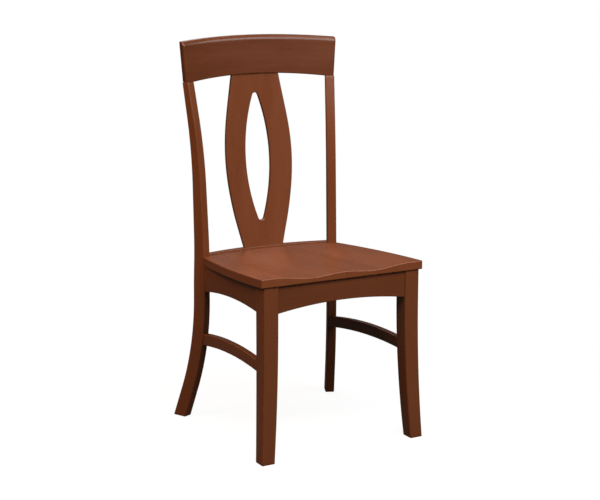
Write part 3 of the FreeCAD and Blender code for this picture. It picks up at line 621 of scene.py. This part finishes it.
# %% The splat's section
turn = np.radians(np.linspace(0, 90, 6))
out, deep = SPLAT_EASE * np.sin(turn), SPLAT_EASE * (1 - np.cos(turn))
band = np.hypot(outer[0] - inner[0], outer[1] - inner[1])[:, None]
flat_share = np.concatenate([[0, 0.01], np.linspace(0, 1, 12)[1:-1], [0.99, 1]])
flat = SPLAT_EASE + flat_share * (band - 2 * SPLAT_EASE)
back_out, back_deep = out[::-1][:-1], deep[::-1][:-1]
distance = np.concatenate([flat, band - SPLAT_EASE + out[1:], band - SPLAT_EASE + back_out,
                           flat[:, ::-1][:, 1:], SPLAT_EASE - out[1:] + 0 * band,
                           SPLAT_EASE - back_out + 0 * band], 1)[:, :-1]
face = SPLAT_THICK / 2
flat_count = len(flat_share)
layer = np.concatenate([np.full(flat_count, -face), deep[1:] - face, face - back_deep,
                        np.full(flat_count - 1, face), face - deep[1:], back_deep - face])[:-1]

share = distance / band
x = inner[0][:, None] * (1 - share) + outer[0][:, None] * share
z = inner[1][:, None] * (1 - share) + outer[1][:, None] * share
points = np.stack([x, splat_y(x, z) + layer, z], -1)
board = np.stack([z, x, layer + 0 * x], -1)
wooden["back_splat"] = make_piece("splat", points.reshape(-1, 3), tube_faces(*x.shape, True),
                                  board.reshape(-1, 3))

# %% [markdown]
# ## Seat
#
# The seat is a slab of staves glued edge to edge and then hollowed: two shallow hollows
# with a ridge between them that fades to the back. Seen from above it is widest near the
# front, its sides swell, and its rear edge follows the bowed rail and steps round the posts.
# A sculptor would scoop it from a block; here its top is a height over every point.

# %% Seat
SEAT_REAR = 361.8
FRONT_HALF, REAR_HALF, SIDE_SWELL = 226.5, 199.6, 10.2
SEAT_GAP = 0.3
SHELL = 3.0      # millimetres near each face that keep their distance to it
NOTCH_LEVEL, NOTCH_GAP, NOTCH_STEP = 440.0, 0.4, 0.3
post_far_x, post_far_y, _ = on_post(NOTCH_LEVEL, POST_WIDE, -NOTCH_GAP)


def seat_half(y):
    """Half width: a straight line from front to side end, swollen by a parabola."""
    share = (y - SEAT_FRONT) / (SEAT_REAR - SEAT_FRONT)
    return FRONT_HALF - (FRONT_HALF - REAR_HALF) * share + 4 * SIDE_SWELL * share * (1 - share)


def seat_rear(x):
    """Rear edge: the rail's hollow face, and outside it the front faces of the posts."""
    rail = RAIL_FRONT - RAIL_ARC + np.sqrt((RAIL_ARC - SEAT_GAP) ** 2 - x ** 2)
    face = post_far_y + (post_far_x - np.abs(x)) * POST_INWARD[1] / -POST_INWARD[0]
    return np.where(np.abs(x) < post_far_x, rail, np.maximum(face, SEAT_REAR))


FRONT_DEPTH, FULL_DEPTH = 9.0, 11.0
DEEPEST_ALONG, FALL_LENGTH = 0.4, 0.54      # shares of the seat's length
DEEPEST_ACROSS, RIM_WIDTH = 0.38, 0.46      # shares of its half width
RIDGE_SHARE, RIDGE_LENGTH = 0.63, 0.75


def dip(x, y):
    """Depth of the hollows below the rim.

    Lengthwise it grows by a sine to its deepest place and then falls off as a squared
    cosine. Across, it is deepest at a share of the half width, rises to the rim outside it,
    and rises to the ridge in the middle, which loses its height towards the back."""
    along = np.clip((y - SEAT_FRONT) / (RAIL_FRONT - SEAT_FRONT), 0, 1)
    across = np.abs(x) / (FRONT_HALF - (FRONT_HALF - REAR_HALF) * along ** 2)
    growth = np.sin(math.pi / 2 * np.minimum(along / DEEPEST_ALONG, 1))
    fall = np.cos(math.pi / 2 * np.clip((along - DEEPEST_ALONG) / FALL_LENGTH, 0, 1)) ** 2
    swell = FRONT_DEPTH + (FULL_DEPTH - FRONT_DEPTH) * growth
    depth = np.where(along < DEEPEST_ALONG, swell, FULL_DEPTH * fall)
    outer = np.cos(math.pi / 2 * np.clip((across - DEEPEST_ACROSS) / RIM_WIDTH, 0, 1)) ** 2
    crown = np.cos(math.pi / 2 * np.minimum(across / DEEPEST_ACROSS, 1)) ** 2
    ridge = RIDGE_SHARE * np.maximum(1 - along / RIDGE_LENGTH, 0.1) * crown
    return depth * outer * (1 - ridge)


def on_seat(along, across, up):
    """Slab point: across runs back from the front edge, up from the underside.

    x narrows with the seat's half width. In the shell near either face the height keeps its
    distance to that face, so that the eased edges stay round where the slab is hollowed."""
    share = across / (seat_rear(along * REAR_HALF / FRONT_HALF) - SEAT_FRONT)
    y = SEAT_FRONT + across
    x = along * seat_half(SEAT_FRONT + share * (SEAT_REAR - SEAT_FRONT)) / FRONT_HALF
    thick = SEAT_THICK - dip(x, y)
    middle = SHELL + (up - SHELL) * (thick - 2 * SHELL) / (SEAT_THICK - 2 * SHELL)
    upper = np.where(up > SEAT_THICK - SHELL, thick - SEAT_THICK + up, middle)
    return x, y, under_z(y) + np.where(up < SHELL, up, upper)


notch = post_far_x * FRONT_HALF / REAR_HALF
edges = (-notch - NOTCH_STEP, -notch + NOTCH_STEP, notch - NOTCH_STEP, notch + NOTCH_STEP)
along, inset = stations(-FRONT_HALF, FRONT_HALF, 110, 2.5, 2.5, edges)
depth = seat_rear(along * REAR_HALF / FRONT_HALF) - SEAT_FRONT
wooden["seat_panel"] = make_board("seat", along, inset, depth, SEAT_THICK, on_seat,
                                  (2.5, 1.0, 1.0, 2.5), (80, 2, 80, 4), grain=(1, 0, 2), tone=0.16)

# %% [markdown]
# ## Handing the pieces over
#
# Each new piece takes the place of a piece of the construction model, which is hidden,
# and rides on the frame's root body.

# %% Hand the pieces to the frame
for node, piece in wooden.items():
    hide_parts(node)
    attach(piece, "root")
print(len(wooden), "wooden pieces ride on the frame")

# %% [markdown]
# ## The wood's finish
#
# The chair looks like cherry: a close-grained hardwood, coloured with a reddish-brown
# stain and sprayed with a satin lacquer. The stain hides most of the grain, so what is
# left is soft: growth rings a few millimetres apart, fine fibres, and slightly blotchy
# stain that falls differently on each board. Three pieces are lighter or darker than the
# rest; on the front apron the darker tone is painted shade from the seat's overhang. The
# lacquer gives a broad, quiet sheen. All of it is worked out in the board coordinates, so
# the grain runs along each board, bends with it, and shows its rings at the ends.

# %% Node helpers
def linear(hex_colour):
    """A colour written as sRGB hex, turned to the linear values that Blender works with."""
    channels = [int(hex_colour[k:k + 2], 16) / 255 for k in (1, 3, 5)]
    return [c / 12.92 if c < 0.04045 else ((c + 0.055) / 1.055) ** 2.4 for c in channels] + [1.0]


def add_node(tree, kind, settings=None, **links):
    """Add a node. settings are its own fields; links are sockets, named with _ for a space.

    A link value that is a node output is connected, and anything else is set on the
    socket. A name like in_0 picks the socket by its number."""
    node = tree.nodes.new("ShaderNode" + kind)
    for field, value in (settings or {}).items():
        setattr(node, field, value)
    for name, value in links.items():
        key = int(name[3:]) if name.startswith("in_") else name.replace("_", " ")
        if isinstance(value, bpy.types.NodeSocket):
            tree.links.new(value, node.inputs[key])
        else:
            node.inputs[key].default_value = value
    return node


def new_material(name):
    """An empty node material with its output node."""
    material = bpy.data.materials.new(name)
    material.use_nodes = True
    material.node_tree.nodes.clear()
    return material, material.node_tree, add_node(material.node_tree, "OutputMaterial")


# %% [markdown]
# The grain is a chain of steps from a place in the board to a colour, and the roughness and
# the bump are read from the same noises. Rings are the distance from the heart of the tree,
# which lies beside the board, bent by slow noise; the fibres are noise stretched along
# the grain. The rings are the faintest of all, and the patches of the stain show most.

# %% Grain
RING_SPACING = 0.0045      # between two growth rings, in metres, on a fast-grown hardwood
FIBRE_WIDTH = 0.0028       # real fibres are finer; this is as fine as the picture shows
FIBRE_LENGTH = 0.07
BLOTCH = 0.055             # size of the lighter and darker patches of the stain
PATCH_DEPTH = 0.28
RING_WANDER = 6.0          # how many rings the slow noise may shift the pattern by
HEART_AWAY = 0.06          # the heart of the tree lies this far from the board
SLOW_SCALE = (1.2, 7.0, 7.0)       # the slow noise is long along the grain
TREE_WRAP = (9.0, 1.37, 9.0)       # wraps the steps between boards: none lies far away


def grain(tree, place, dark, light, ring_depth, fibre_depth):
    """Colour, fibre height and stain patches for wood at a place in the board's coordinates.

    The ring number is the distance to the tree's heart over the ring spacing, plus noise. The
    shade, from dark to light, is the sum of ring, fibre, patch and the board's own
    tone, each times its depth; on the front apron that last part is painted shade."""
    slow = add_node(tree, "Mapping", Vector=place, Scale=SLOW_SCALE)
    wander = add_node(tree, "TexNoise", Vector=slow.outputs[0], Scale=1.0, Detail=2.0, Roughness=0.5)
    flat = add_node(tree, "Mapping", Vector=place, Location=(0.0, 0.0, HEART_AWAY),
                    Scale=(0.0, 1.0, 1.0))
    near = add_node(tree, "VectorMath", {"operation": "MODULO"}, in_0=flat.outputs[0],
                    in_1=TREE_WRAP)
    heart = add_node(tree, "VectorMath", {"operation": "LENGTH"}, in_0=near.outputs[0])
    number = add_node(tree, "Math", {"operation": "DIVIDE"}, in_0=heart.outputs["Value"],
                      in_1=RING_SPACING)
    bent = add_node(tree, "Math", {"operation": "MULTIPLY_ADD"}, in_0=wander.outputs[0],
                    in_1=RING_WANDER, in_2=number.outputs[0])
    saw = add_node(tree, "Math", {"operation": "FRACT"}, in_0=bent.outputs[0])
    ring = add_node(tree, "MapRange", {"interpolation_type": "SMOOTHSTEP"}, Value=saw.outputs[0],
                    From_Min=0.0, From_Max=0.85)
    edge = add_node(tree, "MapRange", {"interpolation_type": "SMOOTHSTEP"}, Value=saw.outputs[0],
                    From_Min=1.0, From_Max=0.88)
    late = add_node(tree, "Math", {"operation": "MULTIPLY"}, in_0=ring.outputs[0], in_1=edge.outputs[0])
    thin = add_node(tree, "Mapping", Vector=place,
                    Scale=(1 / FIBRE_LENGTH, 1 / FIBRE_WIDTH, 1 / FIBRE_WIDTH))
    fibre = add_node(tree, "TexNoise", Vector=thin.outputs[0], Scale=1.0, Detail=1.5, Roughness=0.5)
    blotch = add_node(tree, "Mapping", Vector=place, Scale=(0.25 / BLOTCH, 1 / BLOTCH, 1 / BLOTCH))
    patch = add_node(tree, "TexNoise", Vector=blotch.outputs[0], Scale=1.0, Detail=3.0, Roughness=0.55)
    # The board's own tone: its take of the stain, and on the front apron painted shade.
    own = add_node(tree, "Attribute", {"attribute_name": "tone"}).outputs["Fac"]
    shade = add_node(tree, "Math", {"operation": "MULTIPLY_ADD"}, in_0=late.outputs[0], in_1=-ring_depth,
                     in_2=own)
    for source, depth in ((fibre, fibre_depth), (patch, PATCH_DEPTH)):
        shade = add_node(tree, "Math", {"operation": "MULTIPLY_ADD"}, in_0=source.outputs[0], in_1=depth,
                         in_2=shade.outputs[0])
    shade = add_node(tree, "Math", {"operation": "ADD", "use_clamp": True}, in_0=shade.outputs[0],
                     in_1=0.5 + (ring_depth - fibre_depth - PATCH_DEPTH) / 2)
    colour = add_node(tree, "ValToRGB", Fac=shade.outputs[0])
    ramp = colour.color_ramp.elements
    ramp[0].color, ramp[1].color = linear(dark), linear(light)
    return colour.outputs[0], fibre.outputs[0], patch.outputs[0]


def finish_wood(tree, output, place, dark, light, ring_depth=0.04, fibre_depth=0.18, gloss=0.29):
    """Wood under satin lacquer: the grain, a roughness that wanders a little, and a fine bump.

    The lacquer fills the pores, so the bump of the fibres is a tenth of a millimetre at
    most and weak. gloss is the roughness at the middle of its range."""
    colour, fibre, patch = grain(tree, place, dark, light, ring_depth, fibre_depth)
    rough = add_node(tree, "MapRange", Value=patch, From_Min=0.3, From_Max=0.7, To_Min=gloss - 0.04,
                     To_Max=gloss + 0.05)
    bump = add_node(tree, "Bump", Strength=0.01, Distance=0.0001, Height=fibre)
    shader = add_node(tree, "BsdfPrincipled", Base_Color=colour, Roughness=rough.outputs[0], IOR=1.48,
                      Normal=bump.outputs[0], Coat_Weight=0.05, Coat_Roughness=0.25, Coat_IOR=1.5)
    tree.links.new(shader.outputs[0], output.inputs["Surface"])


# %% [markdown]
# The stain is a range between two browns, and most boards lie in the middle of it. Only
# three have a tone of their own: the crest rail and the front apron are darker, and the
# seat is lighter. The front apron's darker tone is painted shade, from the seat that
# overhangs it.

# %% Stained hardwood
STAIN_DARK, STAIN_LIGHT = "#522914", "#92502c"

stained, tree, output = new_material("stained_cherry_satin_lacquer")
place = add_node(tree, "Attribute", {"attribute_name": "board"}).outputs["Vector"]
finish_wood(tree, output, place, STAIN_DARK, STAIN_LIGHT)

# %% [markdown]
# The seat is wider than most planks, so it is glued from staves side by side. Each stave
# comes from another part of the tree: its number, from its place across the seat, moves
# its grain to another place in the wood, where the stain took a little differently.

# %% Seat staves
STAVE_WIDTH = 0.076
STAVE_SHIFT = (3.0, 0.4, 0.04)      # the furthest that a stave's grain is moved, in metres

staved, tree, output = new_material("stained_cherry_glued_staves")
place = add_node(tree, "Attribute", {"attribute_name": "board"}).outputs["Vector"]
parts = add_node(tree, "SeparateXYZ", Vector=place)
number = add_node(tree, "Math", {"operation": "DIVIDE"}, in_0=parts.outputs[1], in_1=STAVE_WIDTH)
stave = add_node(tree, "Math", {"operation": "FLOOR"}, in_0=number.outputs[0])
shift = add_node(tree, "TexWhiteNoise", {"noise_dimensions": "1D"}, W=stave.outputs[0])
moved = add_node(tree, "VectorMath", {"operation": "MULTIPLY_ADD"}, in_0=shift.outputs["Color"],
                 in_1=STAVE_SHIFT, in_2=place)
finish_wood(tree, output, moved.outputs[0], STAIN_DARK, STAIN_LIGHT, fibre_depth=0.08)

for node, piece in wooden.items():
    piece.data.materials.append(staved if node == "seat_panel" else stained)

# %% [markdown]
# ## Inside pieces
#
# The corner blocks, the dowels and the screws keep their construction shapes. They sit
# inside the joints and under the seat, where a maker leaves the wood bare and pale. Their
# grain reads object coordinates, because these pieces have no board coordinates of their
# own. The screws are zinc-plated steel, a soft grey whose sheen varies in fine spots.

# %% Bare wood and steel
SPOTS_PER_METRE = 900.0      # spots of about a millimetre

bare, tree, output = new_material("bare_hardwood")
place = add_node(tree, "TexCoord").outputs["Object"]
finish_wood(tree, output, place, "#a5825a", "#c9a87c", gloss=0.62)

steel, tree, output = new_material("zinc_plated_steel")
place = add_node(tree, "TexCoord").outputs["Object"]
spots = add_node(tree, "TexNoise", Vector=place, Scale=SPOTS_PER_METRE, Detail=2.0)
rough = add_node(tree, "MapRange", Value=spots.outputs[0], To_Min=0.28, To_Max=0.45)
shader = add_node(tree, "BsdfPrincipled", Base_Color=linear("#b9b6ab"), Metallic=1.0,
                  Roughness=rough.outputs[0])
tree.links.new(shader.outputs[0], output.inputs["Surface"])

for node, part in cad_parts.items():
    if node not in wooden:
        for slot in part.material_slots:
            slot.material = steel if "screws" in node else bare

# %% [markdown]
# ## Floor and surroundings
#
# The chair stands in a white studio. The floor and the world are white only to the
# camera and through glass; the light that they send onto the chair is weak, as in a studio
# whose walls are far away, so the underside stays dark. Satin wood mirrors those dim
# walls too, so glossy rays get only a small share of the white. Near the chair the
# floor keeps a faint shadow, and further off it fades to plain white, without a horizon.

# %% Floor
floor_mesh = bpy.data.meshes.new("floor")
half = 9.0
corners = [(-half, -half, 0), (half, -half, 0), (half, half, 0), (-half, half, 0)]
floor_mesh.from_pydata(corners, [], [(0, 1, 2, 3)])
floor = bpy.data.objects.new("floor", floor_mesh)
bpy.context.scene.collection.objects.link(floor)

# %% White paper
GLOW, SHADOW_SHARE = 0.9, 0.16      # the near floor: even white, plus a part that the lamps light
FADE_FROM, FADE_TO = 0.55, 1.1      # metres from the middle of the chair

paper, tree, output = new_material("white_paper_sweep")
rays = add_node(tree, "LightPath").outputs
seen = add_node(tree, "Math", {"operation": "ADD", "use_clamp": True}, in_0=rays["Is Camera Ray"],
                in_1=rays["Is Transmission Ray"])
dim = add_node(tree, "BsdfDiffuse", Color=linear("#57524d"))
glow = add_node(tree, "Emission", Strength=GLOW)
lit = add_node(tree, "BsdfDiffuse", Color=(SHADOW_SHARE, SHADOW_SHARE, SHADOW_SHARE, 1.0))
near = add_node(tree, "AddShader", in_0=glow.outputs[0], in_1=lit.outputs[0])
away = add_node(tree, "Emission", Strength=1.0)
place = add_node(tree, "TexCoord").outputs["Object"]
distance = add_node(tree, "VectorMath", {"operation": "LENGTH"}, in_0=place).outputs["Value"]
fade = add_node(tree, "MapRange", {"interpolation_type": "SMOOTHSTEP"}, Value=distance,
                From_Min=FADE_FROM, From_Max=FADE_TO)
white = add_node(tree, "MixShader", in_0=fade.outputs[0], in_1=near.outputs[0], in_2=away.outputs[0])
choice = add_node(tree, "MixShader", in_0=seen.outputs[0], in_1=dim.outputs[0], in_2=white.outputs[0])
tree.links.new(choice.outputs[0], output.inputs["Surface"])
floor_mesh.materials.append(paper)
print("The floor is", 2 * half, "m wide and fades to white from", FADE_FROM, "to", FADE_TO, "m")

# %% [markdown]
# The world is what rays meet when they miss everything: the studio's far walls.

# %% World
AMBIENT = 0.010           # what the far walls send onto the chair
GLOSSY_SHARE = 0.03       # and what its lacquer mirrors of them

world = bpy.data.worlds.new("studio")
world.use_nodes = True
tree = world.node_tree
tree.nodes.clear()
rays = add_node(tree, "LightPath").outputs
seen = add_node(tree, "Math", {"operation": "ADD", "use_clamp": True}, in_0=rays["Is Camera Ray"],
                in_1=rays["Is Transmission Ray"])
gloss = add_node(tree, "Math", {"operation": "MULTIPLY_ADD"}, in_0=rays["Is Glossy Ray"],
                 in_1=GLOSSY_SHARE, in_2=AMBIENT)
level = add_node(tree, "Math", {"operation": "MAXIMUM"}, in_0=seen.outputs[0], in_1=gloss.outputs[0])
sky = add_node(tree, "Background", Color=(1.0, 1.0, 1.0, 1.0), Strength=level.outputs[0])
add_node(tree, "OutputWorld", Surface=sky.outputs[0])
bpy.context.scene.world = world
print("The world is white to the camera and sends", AMBIENT, "onto the chair")

# %% [markdown]
# ## Lamps
#
# Two softboxes high in front do most of the work: a smaller one for clear edges and a broad
# one for even fronts. Two on the left have a slightly warm light and hang high enough that
# the seat shades the space under it. One on the right evens the splat, one overhead draws
# the bright line along the crest rail, and two behind, the second of them very weak, keep
# the back from going black.

# %% Lamps
def softbox(name, place, target, size, watts, colour="#ffffff"):
    """A rectangular area lamp at a place, turned to a target, with its power in watts."""
    lamp = bpy.data.lights.new(name, "AREA")
    lamp.shape = "RECTANGLE"
    lamp.size, lamp.size_y = size
    lamp.energy = watts
    lamp.color = linear(colour)[:3]
    box = bpy.data.objects.new(name, lamp)
    box.location = place
    box.rotation_euler = (Vector(target) - Vector(place)).to_track_quat("-Z", "Y").to_euler()
    box.visible_camera = False
    bpy.context.scene.collection.objects.link(box)
    print(name, "is", round((Vector(target) - Vector(place)).length, 2), "m away")


MIDDLE, WARM = (0.0, 0.0, 0.5), "#ffdfba"
softbox("high_key", (-0.75, -1.9, 2.95), MIDDLE, (1.5, 1.5), 43.0)
softbox("broad_front", (0.5, -2.3, 2.5), MIDDLE, (2.2, 1.8), 44.0)
softbox("left_high", (-1.9, 0.1, 2.6), MIDDLE, (1.3, 1.3), 27.0, WARM)
softbox("left_front", (-2.4, -0.6, 2.3), MIDDLE, (1.4, 1.4), 13.0, WARM)
softbox("right_front", (2.0, -1.7, 2.4), MIDDLE, (1.4, 1.4), 24.0)
softbox("overhead", (0.0, 0.1, 3.1), MIDDLE, (1.6, 1.6), 19.0)
softbox("back_fill", (0.3, 2.4, 2.5), (0.0, 0.0, 0.6), (1.8, 1.4), 13.0)
softbox("backdrop_glow", (1.5, 2.7, 1.2), MIDDLE, (3.4, 2.2), 1.0)
